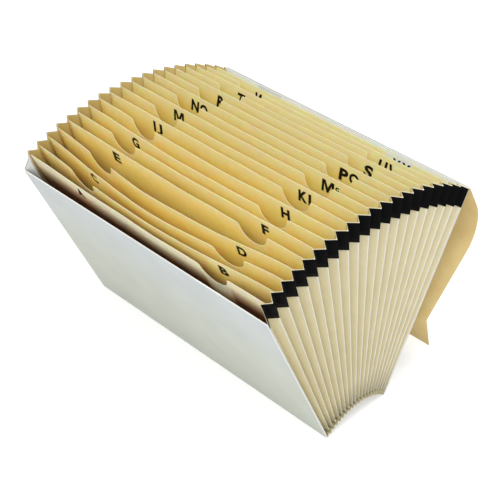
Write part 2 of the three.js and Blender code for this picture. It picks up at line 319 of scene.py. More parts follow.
tape_cloth, tree, shader = new_material("bookbinding cloth tape, sized", 0.65)
place = add(tree, "ShaderNodeTexCoord").outputs["Object"]
weave = add(tree, "ShaderNodeTexVoronoi", {"Vector": place, "Scale": 1 / (0.8 * MM)})
thread = add(tree, MIX, {0: weave, 6: srgb("#0B0B0D"), 7: srgb("#040405")}, data_type="RGBA")
lift = {"Height": weave, "Distance": 0.08 * MM, "Strength": 0.5}
lift = add(tree, "ShaderNodeBump", lift)
shader.inputs["Specular IOR Level"].default_value = 0.08
tree.links.new(thread.outputs[2], shader.inputs["Base Color"])
tree.links.new(lift.outputs[0], shader.inputs["Normal"])
print("made:", gusset_paper.name, "and", tape_cloth.name)

# %% [markdown]
# ## Lined board, flap card and ink
#
# The covers are greyboard lined with white paper. The lining is the palest surface and
# has almost no colour of its own, a little cooler at the top than where the board stands.
# Where it is turned over the board's edge it is painted whiter, a painted highlight where
# the edge catches the light. The flap is a heavier, browner card than the index, held to
# the cover by a narrow hinge of the white lining, and the letters are printed in black
# ink. How far along the flap a point lies from the hinge is kept on the mesh as the
# attribute "from_hinge".

# %% Board, flap card and ink
COOL_ABOVE, WARM_BELOW = 220 * MM, 90 * MM
HINGE_STRIP_MM, STRIP_FADE_MM = 3, 1
lined_board, tree, shader = new_material("greyboard lined with white paper", 0.7)
plain = mottle(tree, shader, "#E2E8E8", "#D9DFDF", 45, 1.0, fibre_share=0.35, bump_mm=0.04)
place = add(tree, "ShaderNodeTexCoord").outputs["Object"]
height = add(tree, SEPARATE, {0: place}).outputs[2]
low = {0: height, 1: COOL_ABOVE, 2: WARM_BELOW}
low = add(tree, MAP_RANGE, low, interpolation_type="SMOOTHSTEP")
warmer = {0: low, 6: plain, 7: srgb("#FEFCEF")}
warmer = add(tree, MIX, warmer, data_type="RGBA", blend_type="MULTIPLY").outputs[2]
tree.links.new(warmer, shader.inputs["Base Color"])

# Painted highlight: the lining over the board's edges is painted whiter than the faces.
lit_board_edge, tree, shader = new_material("lining over the board's edge, painted highlight", 0.6)
mottle(tree, shader, "#FBFCFA", "#F3F4F1", 20, 1.0, fibre_share=0.35, bump_mm=0.02)

flap_card, tree, shader = new_material("flap card, uncoated", 0.8)
plain = mottle(tree, shader, "#F6DD9F", "#EFD08D", 18, 0.7, fibre_share=0.4, bump_mm=0.05)
from_hinge = add(tree, "ShaderNodeAttribute", attribute_name="from_hinge").outputs["Fac"]
strip = {0: from_hinge, 1: (HINGE_STRIP_MM + STRIP_FADE_MM) * MM, 2: HINGE_STRIP_MM * MM}
strip = add(tree, MAP_RANGE, strip)
hinged = add(tree, MIX, {0: strip, 6: plain, 7: srgb("#F6F6F2")}, data_type="RGBA").outputs[2]
tree.links.new(hinged, shader.inputs["Base Color"])

bottom_paper, tree, shader = new_material("bottom paper, creased", 0.85)
mottle(tree, shader, "#D6CDA8", "#C5BB93", 20, 0.7, fibre_share=0.5, bump_mm=0.05)
ink, tree, shader = new_material("printing ink, black", 0.5)
mottle(tree, shader, "#0D0C0B", "#060505", 3, 0.5, fibre_share=0.6, bump_mm=0.01)
print("made:", lined_board.name, flap_card.name, bottom_paper.name, ink.name, sep="; ")

# %% [markdown]
# ## Geometry Nodes: one folded strip
#
# Both gussets and both tapes are the same thing: a band that zigzags between two rows of
# folds. The tree starts from a line of points, one for each fold, which carries its own
# rule as attributes: which way is up the sheet, how high it reaches, how far apart the
# folds are, and whether a fold is an outer or an inner one. In the photo the right-hand
# gusset stands 2.3 mm proud of the cards, and comes down to the rear cover over its last
# six folds. The first fold of each gusset is only as high as the front cover.

# %% The line of folds
LEVELLED_FOLDS = 6
fold_line = [fan_point(fold, 0.0) for fold in range(LAST_FOLD + 1)]
fold_line[0] = fan_point(0, 0.0, behind=CLEARANCE)
fold_line[-1] = fan_point(LAST_FOLD, 0.0, behind=-CLEARANCE)


def half_pitches(height):
    tops = [fan_point(fold, height) for fold in range(LAST_FOLD + 1)]
    gaps = [(b - a).length for a, b in pairwise(tops)]
    return [(a + b) / 2 for a, b in zip([gaps[0]] + gaps, gaps + [gaps[-1]])]


def line_of_folds(name, proud, lined_folds):
    piece = new_piece(name, fold_line, edges=pairwise(range(LAST_FOLD + 1)))
    layer = piece.data.attributes.new("up", "FLOAT_VECTOR", "POINT")
    ups = np.array([(0.0, *up_along(lean)) for lean in leans], np.float32)
    layer.data.foreach_set("vector", ups.ravel())
    folds_left = reversed(range(LAST_FOLD))
    reaches = [PLEAT_HEIGHT + proud * min(1, left / LEVELLED_FOLDS) for left in folds_left]
    values = {
        "inward": [fold % 2 for fold in range(LAST_FOLD + 1)],
        "pitch_foot": half_pitches(0.0),
        "pitch_top": half_pitches(PLEAT_HEIGHT),
        "reach": [FRONT_BOARD_HEIGHT] + reaches,
        "lined": [float(fold < lined_folds) for fold in range(LAST_FOLD + 1)],
    }
    for attribute, numbers in values.items():
        layer = piece.data.attributes.new(attribute, "FLOAT", "POINT")
        layer.data.foreach_set("value", np.array(numbers, np.float32))
    return piece


middle_pitches = [round(half_pitches(h)[CARDS] / MM, 2) for h in (0.0, PLEAT_HEIGHT)]
print("half pitch in the middle, at the foot and at the top:", middle_pitches, "mm")

# %% [markdown]
# Extruding the line's edges makes a second row of points, and Set Position then lifts
# each row to its own height up each fold's lean, which opens the band. The band is cut
# finely, and each point is slid out or in. Subdividing carries the attributes along, so
# nothing has to be looked up. Thickness is added sideways, which keeps thin folds from
# crossing: a slanted panel needs more of it than its paper is thick, and "slant" is how
# many times more.


# %% The tree for a folded strip
def new_tree(name, decimals, counts=()):
    """A tree that takes a mesh, decimals, counts and a material, and gives a mesh."""
    tree = bpy.data.node_groups.new(name, "GeometryNodeTree")
    kinds = {"Geometry": "Geometry", **dict.fromkeys(decimals, "Float")}
    kinds |= {**dict.fromkeys(counts, "Int"), "Material": "Material"}
    for label, kind in kinds.items():
        tree.interface.new_socket(label, in_out="INPUT", socket_type="NodeSocket" + kind)
    tree.interface.new_socket("Geometry", in_out="OUTPUT", socket_type="NodeSocketGeometry")
    return tree, tree.nodes.new("NodeGroupInput").outputs


def close_shell(tree, skin, offset, length, material):
    """Gives a skin its thickness, joins the two skins into one shell, and ends the tree."""
    outer = {"Mesh": skin, "Offset": offset, "Offset Scale": length, "Individual": False}
    outer = add(tree, "GeometryNodeExtrudeMesh", outer)
    inner = add(tree, "GeometryNodeFlipFaces", {"Mesh": skin})
    inner = {"Geometry": inner, "Name": "inside", "Value": 1.0}
    inner = add(tree, STORE, inner, data_type="FLOAT", domain="FACE")
    both = tree.nodes.new("GeometryNodeJoinGeometry")
    tree.links.new(outer.outputs["Mesh"], both.inputs[0])
    tree.links.new(inner.outputs[0], both.inputs[0])
    shell = {"Geometry": both, "Distance": 0.01 * MM}
    shell = add(tree, "GeometryNodeMergeByDistance", shell)
    plain = add(tree, "GeometryNodeRealizeInstances", {"Geometry": shell})
    coated = {"Geometry": plain, "Material": material}
    coated = add(tree, "GeometryNodeSetMaterial", coated)
    add(tree, "NodeGroupOutput", {0: coated})


STRIP_SIZES = ["Foot", "Margin", "Side", "Inner edge", "Gusset paper", "Stand-off", "Thickness"]
tree, given = new_tree("Folded strip", STRIP_SIZES, ["Cuts"])
band = {"Mesh": given["Geometry"], "Offset Scale": 0.0}
band = add(tree, "GeometryNodeExtrudeMesh", band, mode="EDGES")
reach = add(tree, READ, {"Name": "reach"}, data_type="FLOAT")
short = add(tree, MATH, {0: reach, 1: given["Margin"]}, operation="SUBTRACT")
level = {0: band.outputs["Top"], 1: given["Foot"], 2: short}
level = add(tree, "GeometryNodeSwitch", level, input_type="FLOAT")
band = {"Geometry": band, "Name": "rise", "Value": level}
band = add(tree, STORE, band, data_type="FLOAT", domain="POINT")
rise = add(tree, READ, {"Name": "rise"}, data_type="FLOAT")
up = add(tree, READ, {"Name": "up"}, data_type="FLOAT_VECTOR")
climb = add(tree, VECTOR_MATH, {0: up, "Scale": rise.outputs[0]}, operation="SCALE")
band = add(tree, SET_POSITION, {"Geometry": band, "Offset": climb})
fine = {"Mesh": band, "Level": given["Cuts"]}
fine = add(tree, "GeometryNodeSubdivideMesh", fine)
inward = add(tree, READ, {"Name": "inward"}, data_type="FLOAT")
pitch_foot = add(tree, READ, {"Name": "pitch_foot"}, data_type="FLOAT")
pitch_top = add(tree, READ, {"Name": "pitch_top"}, data_type="FLOAT")
pitch = {0: rise, 1: 0.0, 2: PLEAT_HEIGHT, 3: pitch_foot, 4: pitch_top}
pitch = add(tree, MAP_RANGE, pitch, clamp=False)
depth = add(tree, MATH, {0: HALF_WIDTH, 1: given["Inner edge"]}, operation="SUBTRACT")
slope = add(tree, MATH, {0: depth, 1: pitch}, operation="DIVIDE")
slant = add(tree, MATH, {0: slope, 1: slope, 2: 1.0}, operation="MULTIPLY_ADD")
slant = add(tree, MATH, {0: slant}, operation="SQRT")
paper = add(tree, MATH, {0: given["Gusset paper"], 1: slant}, operation="MULTIPLY")
outer_x = add(tree, MATH, {0: HALF_WIDTH, 1: paper}, operation="SUBTRACT")
folded = {0: inward, 2: outer_x, 3: given["Inner edge"]}
folded = add(tree, MIX, folded, data_type="FLOAT")
away = {0: given["Stand-off"], 1: slant, 2: folded}
away = add(tree, MATH, away, operation="MULTIPLY_ADD")
sided = add(tree, MATH, {0: away, 1: given["Side"]}, operation="MULTIPLY")
across = add(tree, COMBINE, {0: sided})
skin = add(tree, SET_POSITION, {"Geometry": fine, "Offset": across})
wall = add(tree, MATH, {0: given["Thickness"], 1: slant}, operation="MULTIPLY")
outwards = add(tree, COMBINE, {0: given["Side"]})
close_shell(tree, skin, outwards, wall, given["Material"])
folded_strip = tree
print("nodes in the folded strip:", len(tree.nodes))

# %% [markdown]
# One tree now folds four pieces. The tape is cloth folded over the gusset's top edge, and
# shows a thin line of paper above it on the right, so it ends a margin short of the edge
# there. It stands off the gusset by more than the gusset's own paper, so the two never
# cross. The board's lining runs over the first panel on the left, so "lined_folds" is 2
# there, for fold 0 and fold 1.


# %% Fold the gussets and their tape
def shape_with(piece, tree, values):
    """Adds the tree as a modifier and sets its inputs by their identifiers."""
    modifier = piece.modifiers.new(tree.name, "NODES")
    modifier.node_group = tree
    for item in tree.interface.items_tree:
        if item.in_out == "INPUT" and item.name in values:
            modifier[item.identifier] = values[item.name]
    return piece


GUSSET_SOLID = 0.5 * MM
GUSSET_PAPER = 0.35 * MM
TAPE = 0.3 * MM
TAPE_HEIGHT = 23 * MM
SIDES = {
    "left": {"side": -1.0, "proud": 0.0, "lined_folds": 2, "tape_margin": 0.0},
    "right": {"side": 1.0, "proud": 2.3 * MM, "lined_folds": 0, "tape_margin": 0.7 * MM},
}
for word, own in SIDES.items():
    values = {
        "Foot": CARD_FOOT,
        "Margin": 0.0,
        "Side": own["side"],
        "Inner edge": CARD_HALF_WIDTH + CLEARANCE,
        "Gusset paper": GUSSET_SOLID,
        "Stand-off": GUSSET_SOLID - GUSSET_PAPER,
        "Thickness": GUSSET_PAPER,
        "Cuts": 3,
        "Material": gusset_paper,
    }
    gusset = line_of_folds(f"pleated_gusset_{word}", own["proud"], own["lined_folds"])
    shape_with(gusset, folded_strip, values)
    finish_mesh(gusset, "file", f"gusset_{word}")
    values |= {
        "Foot": PLEAT_HEIGHT - TAPE_HEIGHT,
        "Margin": own["tape_margin"],
        "Stand-off": GUSSET_SOLID + CLEARANCE / 3,
        "Thickness": TAPE,
        "Cuts": 2,
        "Material": tape_cloth,
    }
    tape = line_of_folds(f"edge_tape_{word}", own["proud"], 0)
    shape_with(tape, folded_strip, values)
    finish_mesh(tape, "file", f"tape_{word}")

# %% [markdown]
# ## Geometry Nodes: the index cards
#
# The twenty cards are one sheet, cut with its thumb notch on the right or on the left
# in turn. They are made as instances on the inner folds, so only two sheets have to be
# shaped. A card is a grid whose top row is bent into the cut edge: a straight run, a
# small round lip, the half round of the notch, a second lip and a straight run. LIP_IN to
# LIP_OUT are the shares of the grid's columns where one of these parts ends and the next
# begins, and the rows crowd towards the cut edge, where the shape is. A real card is
# never quite flat, so each stands with a slow bow of its own and a fine ripple from noise
# with a fixed seed. Both die away towards the foot where it is glued.

# %% The tree for the index cards
CARD_SIZES = ["Half width", "Foot", "Top", "Left notch", "Right notch", "Notch radius", "Lip radius"]
CARD_SIZES += ["Glued margin", "Ripple", "Ripple length", "Thickness", "Seed"]
LIP_IN, NOTCH_IN, NOTCH_OUT, LIP_OUT = 0.5, 0.55, 0.85, 0.9
ROW_CROWDING = 2.5
BELL_POWER, RISE_POWER = 1.5, 1.2
RIPPLE_STEP = 7.3
tree, given = new_tree("Index cards", CARD_SIZES, ["Columns", "Rows"])
grid = {"Size X": 1.0, "Size Y": 1.0, "Vertices X": given["Columns"], "Vertices Y": given["Rows"]}
grid = add(tree, "GeometryNodeMeshGrid", grid)
grid_place = add(tree, SEPARATE, {0: grid.outputs["UV Map"]})
column = grid_place.outputs[0]
from_top = add(tree, MATH, {0: 1.0, 1: grid_place.outputs[1]}, operation="SUBTRACT")
from_top = add(tree, MATH, {0: from_top, 1: ROW_CROWDING}, operation="POWER")

# The lip touches the half round where the line between their two centres crosses it
centres = {0: given["Notch radius"], 1: given["Lip radius"]}
centres = add(tree, MATH, centres, operation="ADD")
lip_angle = add(tree, MATH, {0: given["Lip radius"], 1: centres}, operation="DIVIDE")
lip_angle = add(tree, MATH, {0: lip_angle}, operation="ARCSINE")
lip_away = add(tree, MATH, {0: lip_angle}, operation="COSINE")
lip_away = add(tree, MATH, {0: lip_away, 1: centres}, operation="MULTIPLY")
opening = add(tree, MATH, {0: math.pi, 1: lip_angle}, operation="ADD")
closing = add(tree, MATH, {0: 2 * math.pi, 1: lip_angle}, operation="SUBTRACT")
rising = add(tree, MATH, {0: math.pi, 1: lip_angle}, operation="SUBTRACT")
join = tree.nodes.new("GeometryNodeJoinGeometry")
start = add(tree, MATH, {0: given["Half width"], 1: -1.0}, operation="MULTIPLY")
for sign, notch in ((-1.0, "Left notch"), (1.0, "Right notch")):
    before = add(tree, MATH, {0: given[notch], 1: lip_away}, operation="SUBTRACT")
    after = add(tree, MATH, {0: given[notch], 1: lip_away}, operation="ADD")
    after = add(tree, MATH, {0: given["Half width"], 1: after}, operation="SUBTRACT")
    first = add(tree, MAP_RANGE, {0: column, 1: 0.0, 2: LIP_IN, 3: start, 4: before})
    last = add(tree, MAP_RANGE, {0: column, 1: LIP_OUT, 2: 1.0, 3: 0.0, 4: after})
    level = add(tree, MATH, {0: first, 1: last}, operation="ADD")
    edge = add(tree, COMBINE, {0: level, 1: given["Top"]})
    arcs = [
        (LIP_IN, NOTCH_IN, "Lip radius", math.pi / 2, lip_angle),
        (NOTCH_IN, NOTCH_OUT, "Notch radius", opening, closing),
        (NOTCH_OUT, LIP_OUT, "Lip radius", rising, math.pi / 2),
    ]
    for begin, end, radius, turn_from, turn_to in arcs:
        spoke = add(tree, COMBINE, {0: given[radius]})
        angle = {0: column, 1: begin, 2: end, 3: turn_from, 4: turn_to}
        angle = add(tree, MAP_RANGE, angle)
        here = {"Vector": spoke, "Angle": angle}
        here = add(tree, "ShaderNodeVectorRotate", here, rotation_type="Z_AXIS")
        origin = {"Vector": spoke, "Angle": turn_from}
        origin = add(tree, "ShaderNodeVectorRotate", origin, rotation_type="Z_AXIS")
        step = add(tree, VECTOR_MATH, {0: here, 1: origin}, operation="SUBTRACT")
        edge = add(tree, VECTOR_MATH, {0: edge, 1: step}, operation="ADD")
    edge = add(tree, SEPARATE, {0: edge})
    card_x = add(tree, MATH, {0: edge.outputs[0], 1: sign}, operation="MULTIPLY")
    length = add(tree, MATH, {0: edge.outputs[1], 1: given["Foot"]}, operation="SUBTRACT")
    below = add(tree, MATH, {0: length, 1: from_top}, operation="MULTIPLY")
    card_y = add(tree, MATH, {0: edge.outputs[1], 1: below}, operation="SUBTRACT")
    flat = add(tree, COMBINE, {0: card_x, 1: card_y})
    sheet = add(tree, SET_POSITION, {"Geometry": grid.outputs["Mesh"], "Position": flat})
    for label, kind, value in (("flat", "FLOAT_VECTOR", flat), ("below_top", "FLOAT", below)):
        sheet = {"Geometry": sheet, "Name": label, "Value": value}
        sheet = add(tree, STORE, sheet, data_type=kind, domain="POINT")
    single = add(tree, "GeometryNodeGeometryToInstance", {0: sheet})
    tree.links.new(single.outputs[0], join.inputs[0])

rotation = add(tree, READ, {"Name": "turn"}, data_type="FLOAT_VECTOR")
which = add(tree, READ, {"Name": "notch"}, data_type="INT")
cards = {
    "Points": given["Geometry"],
    "Instance": join,
    "Pick Instance": True,
    "Instance Index": which,
    "Rotation": rotation,
}
cards = add(tree, "GeometryNodeInstanceOnPoints", cards)
real = add(tree, "GeometryNodeRealizeInstances", {"Geometry": cards})

# How far each point goes to the rear: its card's bow, its ripple and its glued ends
flat = add(tree, READ, {"Name": "flat"}, data_type="FLOAT_VECTOR")
card_number = add(tree, READ, {"Name": "card"}, data_type="FLOAT")
along = add(tree, SEPARATE, {0: flat})
sideways = {0: along.outputs[0], 1: given["Half width"]}
sideways = add(tree, MATH, sideways, operation="DIVIDE")
square = add(tree, MATH, {0: sideways, 1: sideways}, operation="MULTIPLY")
held = add(tree, MATH, {0: 1.0, 1: square}, operation="SUBTRACT")
bell = add(tree, MATH, {0: held, 1: BELL_POWER}, operation="POWER")
card_bow = add(tree, READ, {"Name": "bow"}, data_type="FLOAT")
bowed = add(tree, MATH, {0: bell, 1: card_bow}, operation="MULTIPLY")
left = add(tree, READ, {"Name": "lag_left"}, data_type="FLOAT")
right = add(tree, READ, {"Name": "lag_right"}, data_type="FLOAT")
glued_end = add(tree, MAP_RANGE, {0: sideways, 1: -1.0, 2: 1.0, 3: left, 4: right}, clamp=False)
ripple_x = {0: along.outputs[0], 1: given["Ripple length"]}
ripple_x = add(tree, MATH, ripple_x, operation="DIVIDE")
ripple_y = {0: card_number, 1: RIPPLE_STEP, 2: given["Seed"]}
ripple_y = add(tree, MATH, ripple_y, operation="MULTIPLY_ADD")
place = add(tree, COMBINE, {0: ripple_x, 1: ripple_y})
wave = {"Vector": place, "Scale": 1.0, "Detail": 0.0}
wave = add(tree, "ShaderNodeTexNoise", wave, noise_dimensions="2D")
wave = add(tree, MAP_RANGE, {0: wave, 1: 0.2, 2: 0.8, 3: -1.0, 4: 1.0}, clamp=False)
rippled = add(tree, MATH, {0: wave, 1: held}, operation="MULTIPLY")
rippled = {0: rippled, 1: given["Ripple"], 2: bowed}
rippled = add(tree, MATH, rippled, operation="MULTIPLY_ADD")
amount = add(tree, MATH, {0: rippled, 1: glued_end}, operation="ADD")
share = add(tree, MATH, {0: along.outputs[1], 1: given["Top"]}, operation="DIVIDE")
share = add(tree, MATH, {0: share, 1: RISE_POWER}, operation="POWER")
amount = add(tree, MATH, {0: amount, 1: share}, operation="MULTIPLY")
rear = add(tree, READ, {"Name": "rear"}, data_type="FLOAT_VECTOR")
offset = {0: rear, "Scale": amount.outputs[0]}
offset = add(tree, VECTOR_MATH, offset, operation="SCALE")

# Towards each end the card also reaches out over the gusset panel that it is glued to
inner = {0: given["Half width"], 1: given["Glued margin"]}
inner = add(tree, MATH, inner, operation="SUBTRACT")
near_ends = []
for sign, label in ((-1.0, "reach_left"), (1.0, "reach_right")):
    further = add(tree, READ, {"Name": label}, data_type="FLOAT")
    further = add(tree, MATH, {0: further, 1: sign}, operation="MULTIPLY")
    outside = add(tree, MATH, {0: along.outputs[0], 1: sign}, operation="MULTIPLY")
    near_end = {0: outside, 1: inner, 2: given["Half width"], 4: further}
    near_ends.append(add(tree, MAP_RANGE, near_end))
wider = add(tree, MATH, {0: near_ends[0], 1: near_ends[1]}, operation="ADD")
wider = add(tree, MATH, {0: wider, 1: share}, operation="MULTIPLY")
wider = add(tree, COMBINE, {0: wider})
offset = add(tree, VECTOR_MATH, {0: offset, 1: wider}, operation="ADD")
skin = add(tree, SET_POSITION, {"Geometry": real, "Offset": offset})
close_shell(tree, skin, rear, given["Thickness"], given["Material"])
index_cards = tree
print("nodes in the index cards:", len(tree.nodes))

# %% [markdown]
# Every card starts as one point at the foot of its inner fold. What is special to it goes
# on that point as attributes, and instancing carries them to the whole card.
#
# The ends of a card are glued part of the way up the gusset panel behind its inner fold,
# most of all at the front, because the file was pulled open from there. GLUED_AT gives
# that as a share of the panel: the first card's share, and what each further card keeps
# of it. BOWS is how far the middle of each card bows to the rear of its ends, in mm, as
# judged from the photo, from the first card to the last. None bows to the rear, so all
# but two of the numbers are below nought.

# %% Stand the cards on the inner folds
GLUED_AT = {"left": (0.78, 0.87), "right": (0.5, 0.9)}
REACH_SHARE = 0.9
LONGEST_REACH = 4.5 * MM
BOWS = [-3, -10, -14, -13, -3, -3, -6, -5, -1, -3, -1, -3, -2, -2, 0, -3, -1, -2, 0, -1]
inner_folds = range(1, LAST_FOLD, 2)
cards = new_piece("index_cards", [fan_point(fold, 0.0) for fold in inner_folds])
vectors = {
    "turn": [(math.pi / 2 - leans[fold], 0.0, 0.0) for fold in inner_folds],
    "rear": [(0.0, *square_to(leans[fold])) for fold in inner_folds],
}
for attribute, rows in vectors.items():
    layer = cards.data.attributes.new(attribute, "FLOAT_VECTOR", "POINT")
    layer.data.foreach_set("vector", np.array(rows, np.float32).ravel())
half_pitch_tops = half_pitches(PLEAT_HEIGHT)
numbers = {"card": range(CARDS), "bow": [bow * MM for bow in BOWS]}
for side, (first_share, keep) in GLUED_AT.items():
    shares = [first_share * keep**number for number in range(CARDS)]
    lags = [share * half_pitch_tops[fold] for share, fold in zip(shares, inner_folds)]
    reaches = [min(REACH_SHARE * share * GUSSET_DEPTH, LONGEST_REACH) for share in shares]
    numbers |= {f"lag_{side}": lags, f"reach_{side}": reaches}
for attribute, row in numbers.items():
    layer = cards.data.attributes.new(attribute, "FLOAT", "POINT")
    layer.data.foreach_set("value", np.array(row, np.float32))
layer = cards.data.attributes.new("notch", "INT", "POINT")
layer.data.foreach_set("value", np.arange(CARDS, dtype=np.int32) % 2)
values = {
    "Half width": CARD_HALF_WIDTH,
    "Foot": CARD_FOOT,
    "Top": PLEAT_HEIGHT,
    "Left notch": 103 * MM,
    "Right notch": 111 * MM,
    "Notch radius": 19 * MM,
    "Lip radius": 3 * MM,
    "Glued margin": 20 * MM,
    "Ripple": 0.5 * MM,
    "Ripple length": 60 * MM,
    "Thickness": 0.35 * MM,
    "Seed": 3.0,
    "Columns": 161,
    "Rows": 13,
    "Material": manila,
}
card_nodes = [f"divider_{entry.lower()}" for entry in ENTRIES]
finish_mesh(shape_with(cards, index_cards, values), "file", *card_nodes)

# %% [markdown]
# ## The printed index
#
# Each card carries its entry in bold black capitals 14 mm high, where the notch of the
# card in front leaves it in sight. They are wide, as index letters are, so each letter
# of the built-in font is turned into a mesh by itself and fitted to its width. Bolder
# strokes would fill in the font's M, so that one is drawn as an outline of its own. A
# letter is laid on its card's plane, and then each point is dropped onto the bowed card
# behind it along a straight ray, so that the print follows the paper.

# %% Draw the letters
LETTER_HEIGHT = 14.2 * MM
LETTER_WIDTH = 12.0
OTHER_WIDTHS = {"F": 10.0, "I": 3.8, "J": 9.5, "L": 10.0, "M": 16.5}
OTHER_WIDTHS |= {"N": 12.8, "O": 12.8, "Q": 13.0, "W": 18.5}
LETTER_GAP = 1.7 * MM
SMALL_C_WIDTH = 4.8
SMALL_C_HEIGHT = 5.4 * MM
SMALL_C_RISE = 6.5 * MM
BOLDNESS, NARROW_BOLDNESS = 0.045, 0.01


def bold_m(width, height):
    """A block M: two uprights and a V between them, as one outline."""
    half = [(0, 0), (0, 1), (0.27, 1), (0.5, 0.42)]
    inner = [(0.19, 0), (0.19, 0.7), (0.43, 0)]
    mirrored = [(1 - x, y) for x, y in half[-2::-1]] + [(1 - x, y) for x, y in inner]
    outline = half + mirrored + inner[::-1]
    points = np.array([(x * width, y * height, 0.0) for x, y in outline])
    return points, [tuple(range(len(outline)))]


def letter_outline(letter, width, height):
    """One letter's points and faces, fitted to a width and a height, from the origin."""
    if letter == "M":
        return bold_m(width, height)
    text = bpy.data.curves.new(letter, "FONT")
    text.body = letter
    text.offset = NARROW_BOLDNESS if letter == "J" else BOLDNESS
    text.resolution_u = 4
    holder = bpy.data.objects.new(letter, text)
    bpy.context.scene.collection.objects.link(holder)
    bpy.context.view_layer.update()
    filled = holder.evaluated_get(bpy.context.evaluated_depsgraph_get())
    mesh = bpy.data.meshes.new_from_object(filled)
    points = np.array([v.co for v in mesh.vertices])
    faces = [tuple(p.vertices) for p in mesh.polygons]
    bpy.data.objects.remove(holder)
    points -= points.min(0)
    return points * [width / points[:, 0].max(), height / points[:, 1].max(), 0.0], faces


def entry_outline(entry):
    """The entry's points and faces, with its capitals centred across."""
    points, faces, middle = np.empty((0, 3)), [], 0.0
    for letter in entry:
        start = points[:, 0].max() + LETTER_GAP if len(points) else 0.0
        if letter == "c":
            outline, more = letter_outline(letter, SMALL_C_WIDTH * MM, SMALL_C_HEIGHT)
            outline += [start, SMALL_C_RISE, 0.0]
        else:
            width = OTHER_WIDTHS.get(letter, LETTER_WIDTH) * MM
            outline, more = letter_outline(letter, width, LETTER_HEIGHT)
            outline += [start, 0.0, 0.0]
            middle = outline[:, 0].max() / 2
        faces += [tuple(i + len(points) for i in face) for face in more]
        points = np.vstack([points, outline])
    return points - [middle, LETTER_HEIGHT / 2, 0.0], faces


print("points in the longest entry:", len(entry_outline("XYZ")[0]))

# %% [markdown]
# The print must lie on one card only, so each card gets a search tree of its own
# triangles. The first hit of a ray from the front is the card's printed face. The ink
# ends a little above it, or the paper's ripples would swallow it between two points.

# %% Print the letters
LEFT_ENTRY, RIGHT_ENTRY = -101 * MM, 112 * MM
LETTER_DROP = 12.8 * MM
PRINT_LIFT = 0.15 * MM
INK_FILM = 0.04 * MM
RAY_START = 30 * MM
card_of_vertex = np.zeros(len(cards.data.vertices), np.float32)
cards.data.attributes["card"].data.foreach_get("value", card_of_vertex)
card_vertices = [v.co for v in cards.data.vertices]
card_triangles = [t.vertices[:] for t in cards.data.loop_triangles]


def surface_of(number):
    own = [corners for corners in card_triangles if round(card_of_vertex[corners[0]]) == number]
    return BVHTree.FromPolygons(card_vertices, own)


letter_points, letter_faces = [], []
for number, entry in enumerate(ENTRIES):
    fold = 2 * number + 1
    centre_x = RIGHT_ENTRY if number % 2 else LEFT_ENTRY
    rear = Vector((0.0, *square_to(leans[fold])))
    surface = surface_of(number)
    points, faces = entry_outline(entry)
    letter_faces += [tuple(i + len(letter_points) for i in face) for face in faces]
    for x, y, _ in points:
        before = fan_point(fold, PLEAT_HEIGHT - LETTER_DROP + y, centre_x + x, -RAY_START)
        letter_points.append(surface.ray_cast(before, rear)[0] - rear * PRINT_LIFT)
letters = new_piece("printed_index", letter_points, faces=letter_faces)
letters.data.materials.append(ink)
film = letters.modifiers.new("ink film", "SOLIDIFY")
film.thickness = INK_FILM
film.offset = -1.0
finish_mesh(letters, "file")

# %% [markdown]
# ## Covers
#
# The two covers are flat boards with slightly rounded corners. A lining paper wraps
# their edges, so the edges are soft rather than sharp, and they are painted whiter than
# the faces, a painted highlight where the edges catch the light. A rounded outline is
# given its thickness and a small bevel, which is all that a board needs.

# %% Cut the boards
FOOT_CORNER, TOP_CORNER = 4 * MM, 1.5 * MM
SOFT_EDGE = 0.45 * MM


def board_outline(height, steps=6):
    foot, top = (FOOT_CORNER, FOOT_CORNER), (height - TOP_CORNER, TOP_CORNER)
    outline = []
    for quarter, (side, (rise, radius)) in enumerate([(-1, foot), (1, foot), (1, top), (-1, top)]):
        for step in range(steps + 1):
            angle = math.pi / 2 * (quarter + 2 + step / steps)
            x = side * (HALF_WIDTH - radius) + radius * math.cos(angle)
            outline.append((x, rise + radius * math.sin(angle)))
    return outline


def board(name, node, fold, height, face_behind):
    """A board whose rear face lies a distance behind the fold's plane."""
    outline = board_outline(height)
    planes = (face_behind - BOARD, face_behind)
    points = [fan_point(fold, rise, x, behind) for behind in planes for x, rise in outline]
    count = len(outline)
    faces = [tuple(range(count)), tuple(range(2 * count - 1, count - 1, -1))]
    faces += [(i, count + i, count + (i + 1) % count, (i + 1) % count) for i in range(count)]
    piece = new_piece(name, points, faces=faces)
    piece.data.materials.append(lined_board)
    piece.data.materials.append(lit_board_edge)
    # The side faces and the bevel take the whiter edge material, a painted highlight.
    for polygon in piece.data.polygons[2:]:
        polygon.material_index = 1
    soften = piece.modifiers.new("soft edges", "BEVEL")
    soften.width = SOFT_EDGE
    soften.segments = 3
    soften.material = 1
    soften.limit_method = "ANGLE"
    soften.angle_limit = math.radians(50)
    finish_mesh(piece, "file", node)


board("cover_board_front", "front_cover", 0, FRONT_BOARD_HEIGHT, 0.0)
board("cover_board_rear", "rear_cover", LAST_FOLD, PLEAT_HEIGHT, BOARD)

# %% [markdown]
# ## The flap and the bottom
#
# The flap is one sheet of card rolled over behind the rear cover. A path gives its
# section, and a tree of its own sweeps the path across the file and gives the sheet its
# thickness. The same closing steps as for the strips end the tree.

# %% The tree for a bent card
tree, given = new_tree("Bent card", ["Width", "Thickness"])
sideways = add(tree, COMBINE, {0: given["Width"]})
swept = {"Mesh": given["Geometry"], "Offset": sideways}
swept = add(tree, "GeometryNodeExtrudeMesh", swept, mode="EDGES")
normal = add(tree, "GeometryNodeInputNormal")
close_shell(tree, swept, normal, given["Thickness"], given["Material"])
bent_card = tree
print("nodes in the bent card:", len(tree.nodes))

# %% [markdown]
# The path goes down and back from the cover's top edge, one straight step after another:
# the hinge strip, the millimetre over which it ends, the rest of a straight shoulder, a
# round bend in short steps, a long panel, and a lip past one more crease. Each step's
# angle is measured from straight down the cover.

